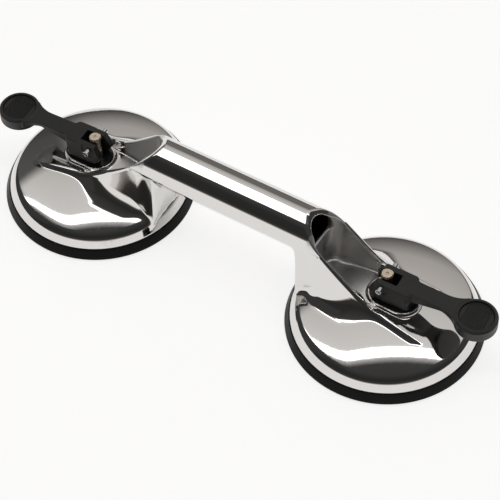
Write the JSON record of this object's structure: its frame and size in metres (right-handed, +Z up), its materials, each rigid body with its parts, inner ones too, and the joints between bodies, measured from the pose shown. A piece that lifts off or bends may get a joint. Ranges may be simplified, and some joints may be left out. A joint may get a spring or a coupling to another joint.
{
  "type": "double suction cup lifter",
  "caption": "Polished cast aluminium lifter: two round suction heads joined by a hollow bar handle, each with a rubber disc and a black cam lever on a short stem.",
  "frame": {"origin": "midway between the two heads, on the surface that the discs stand on", "axes": "+X along the handle, towards the right head; +Z up, away from the surface"},
  "size_m": [0.3444, 0.12, 0.0696],
  "materials": {
    "polished_aluminium": "polished casting",
    "disc_rubber": "moulded, satin",
    "lever_plastic": "fine grained, matt",
    "insert_plastic": "fine grained, matt",
    "wear_plastic": "smooth black",
    "stem_brass": "turned, nickel bronze tone",
    "pin_steel": "ground",
    "plain_steel": "zinc plated",
    "spring_steel": "drawn wire",
    "bush_bronze": "sintered"
  },
  "bodies": {
    "housing": {"housing": "polished_aluminium", "left_suction_disc": "disc_rubber", "left_guide_bush": "bush_bronze", "left_spring_seat": "plain_steel", "left_return_spring": "spring_steel", "left_wear_plate": "wear_plastic", "right_suction_disc": "disc_rubber", "right_guide_bush": "bush_bronze", "right_spring_seat": "plain_steel", "right_return_spring": "spring_steel", "right_wear_plate": "wear_plastic"},
    "left_stem_unit": {"left_stem": "stem_brass", "left_cross_pin": "pin_steel", "left_backing_plate": "plain_steel"},
    "left_lever_unit": {"left_lever": "lever_plastic", "left_thumb_insert": "insert_plastic"},
    "right_stem_unit": {"right_stem": "stem_brass", "right_cross_pin": "pin_steel", "right_backing_plate": "plain_steel"},
    "right_lever_unit": {"right_lever": "lever_plastic", "right_thumb_insert": "insert_plastic"}
  },
  "joints": [
    {"name": "left_stem_slide", "type": "slide", "parent": "housing", "child": "left_stem_unit", "axis": [0, 0, -1], "range_m": [0, 0.0032], "deforming": ["left_return_spring", "left_suction_disc"]},
    {"name": "left_lever_hinge", "type": "hinge", "parent": "left_stem_unit", "child": "left_lever_unit", "pos_m": [-0.1025, 0, 0.0415], "axis": [-0.0183, 0.9998, 0], "range_deg": [0, 90]},
    {"name": "right_stem_slide", "type": "slide", "parent": "housing", "child": "right_stem_unit", "axis": [0, 0, -1], "range_m": [0, 0.0032], "deforming": ["right_return_spring", "right_suction_disc"]},
    {"name": "right_lever_hinge", "type": "hinge", "parent": "right_stem_unit", "child": "right_lever_unit", "pos_m": [0.1025, 0, 0.0415], "axis": [0.0366, -0.9993, 0], "range_deg": [0, 90]}
  ],
  "couplings": [
    {"joint": "left_lever_hinge", "follows": "left_stem_slide", "rad_per_m": 490.87},
    {"joint": "right_lever_hinge", "follows": "right_stem_slide", "rad_per_m": 490.87}
  ]
}
